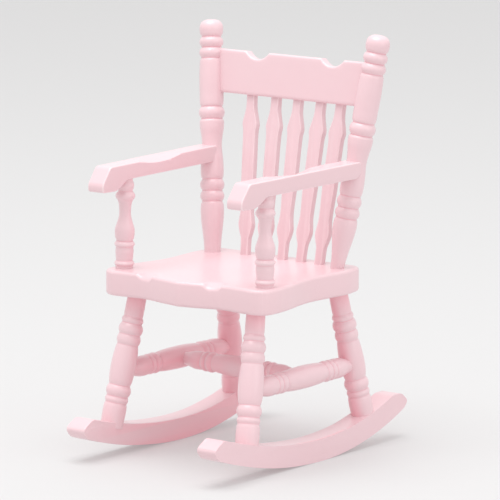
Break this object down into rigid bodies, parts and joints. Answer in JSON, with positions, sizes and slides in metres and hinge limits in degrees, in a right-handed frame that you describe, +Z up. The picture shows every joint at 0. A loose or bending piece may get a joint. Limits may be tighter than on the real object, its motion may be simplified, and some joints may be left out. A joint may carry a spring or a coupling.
{
  "type": "miniature rocking chair",
  "caption": "Dolls-house rocking chair: turned painted-wood legs, posts and stretchers, flat arms, slatted raked back with notched crest rail, shaped seat on curved rockers.",
  "frame": {"origin": "on the floor under the chair, midway between the rockers and midway between their front and rear tips", "axes": "+Z up; the chair faces -Y; +X is the side on the sitter's left"},
  "size_m": [0.0534, 0.0719, 0.0951],
  "materials": {
    "seat_paint": "pink paint, satin to semi-gloss",
    "turned_paint": "pink paint, satin to semi-gloss",
    "board_paint": "pink paint, satin to semi-gloss"
  },
  "bodies": {
    "root": {"arm_post_left": "turned_paint", "arm_post_right": "turned_paint", "armrest_left": "board_paint", "armrest_right": "board_paint", "back_post_left": "turned_paint", "back_post_right": "turned_paint", "centre_stretcher": "turned_paint", "crest_rail": "board_paint", "leg_front_left": "turned_paint", "leg_front_right": "turned_paint", "leg_rear_left": "turned_paint", "leg_rear_right": "turned_paint", "rocker_left": "board_paint", "rocker_right": "board_paint", "seat": "seat_paint", "side_stretcher_left": "turned_paint", "side_stretcher_right": "turned_paint", "spindle_1": "board_paint", "spindle_2": "board_paint", "spindle_3": "board_paint", "spindle_4": "board_paint", "spindle_5": "board_paint"}
  },
  "joints": []
}
